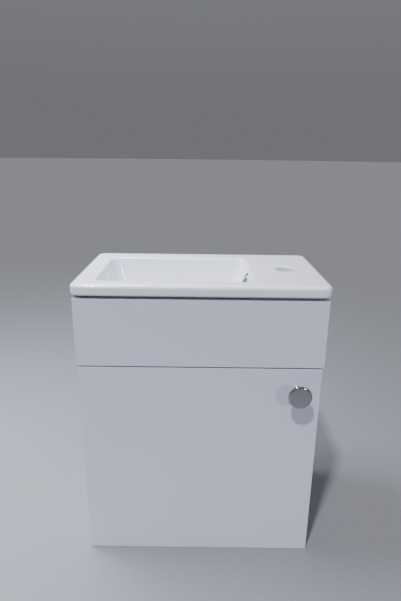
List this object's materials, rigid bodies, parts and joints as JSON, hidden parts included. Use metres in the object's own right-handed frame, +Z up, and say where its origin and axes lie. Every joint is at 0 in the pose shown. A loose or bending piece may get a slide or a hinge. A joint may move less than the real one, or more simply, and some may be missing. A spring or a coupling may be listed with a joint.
{
  "type": "vanity unit",
  "caption": "Compact wall-hung vanity unit: white cabinet with fixed fascia, left-hinged door with round knob, and a ceramic basin with bowl left and tap ledge right.",
  "frame": {"origin": "centre between the two wall-plate screw holes, on the wall plane", "axes": "+X right as seen from the front, +Y into the wall, +Z up"},
  "size_m": [0.407, 0.257, 0.502],
  "materials": {
    "vitreous_china": "gloss white glaze",
    "front_board": "white satin-gloss faced board",
    "carcass_board": "white melamine-faced chipboard",
    "chrome": "polished chrome plating",
    "nickel_plated_steel": "nickel-plated pressed steel",
    "zinc_plated_steel": "zinc-plated steel",
    "zinc_alloy": "die-cast zinc alloy",
    "black_rubber": "matt moulded rubber",
    "clear_buffer": "clear soft polyurethane",
    "white_sealant": "smoothed silicone",
    "white_nylon": "moulded nylon",
    "beech": "fluted beech"
  },
  "bodies": {
    "cabinet": {"basin": "vitreous_china", "overflow_ring": "chrome", "waste_body": "chrome", "waste_seal": "black_rubber", "waste_gasket": "black_rubber", "waste_backnut": "white_nylon", "sealant_bead": "white_sealant", "side_panel_left": "carcass_board", "side_panel_right": "carcass_board", "bottom_panel": "carcass_board", "back_rail_top": "carcass_board", "back_rail_bottom": "carcass_board", "front_rail": "carcass_board", "fascia_panel": "front_board", "fascia_bracket_left": "zinc_plated_steel", "fascia_bracket_right": "zinc_plated_steel", "fascia_bracket_screws": "zinc_plated_steel", "cam_locks": "zinc_alloy", "cam_bolts": "zinc_plated_steel", "wood_dowels": "beech", "hinge_plate_screws": "nickel_plated_steel", "hanger_body_left": "white_nylon", "hanger_body_right": "white_nylon", "hanger_hook_left": "zinc_plated_steel", "hanger_hook_right": "zinc_plated_steel", "hanger_screws": "zinc_plated_steel", "hanger_adjusters": "zinc_plated_steel", "wall_plate_left": "zinc_plated_steel", "wall_plate_right": "zinc_plated_steel", "upper_hinge_arm": "nickel_plated_steel", "upper_hinge_plate": "nickel_plated_steel", "lower_hinge_arm": "nickel_plated_steel", "lower_hinge_plate": "nickel_plated_steel"},
    "door": {"door": "front_board", "knob": "chrome", "knob_screw": "zinc_plated_steel", "door_buffers": "clear_buffer", "hinge_cup_screws": "nickel_plated_steel", "upper_hinge_cup": "nickel_plated_steel", "lower_hinge_cup": "nickel_plated_steel"},
    "upper_link": {"upper_hinge_link": "nickel_plated_steel"},
    "lower_link": {"lower_hinge_link": "nickel_plated_steel"},
    "plug": {"waste_plug": "chrome", "plug_seal": "black_rubber"}
  },
  "joints": [
    {"name": "door_swing", "type": "hinge", "parent": "cabinet", "child": "door", "pos_m": [-0.1915, -0.2295, -0.1785], "axis": [0, 0, -1], "range_deg": [0, 105]},
    {"name": "upper_link_turn", "type": "hinge", "parent": "door", "child": "upper_link", "pos_m": [-0.18, -0.2195, -0.072], "axis": [0, 0, 1], "range_deg": [0, 95.5]},
    {"name": "lower_link_turn", "type": "hinge", "parent": "door", "child": "lower_link", "pos_m": [-0.18, -0.2195, -0.285], "axis": [0, 0, 1], "range_deg": [0, 95.5]},
    {"name": "plug_slide", "type": "slide", "parent": "cabinet", "child": "plug", "axis": [0, 0, -1], "range_m": [0, 0.007]}
  ],
  "couplings": [
    {"joint": "upper_link_turn", "follows": "door_swing", "ratio": 0.9048},
    {"joint": "lower_link_turn", "follows": "door_swing", "ratio": 0.9048}
  ]
}
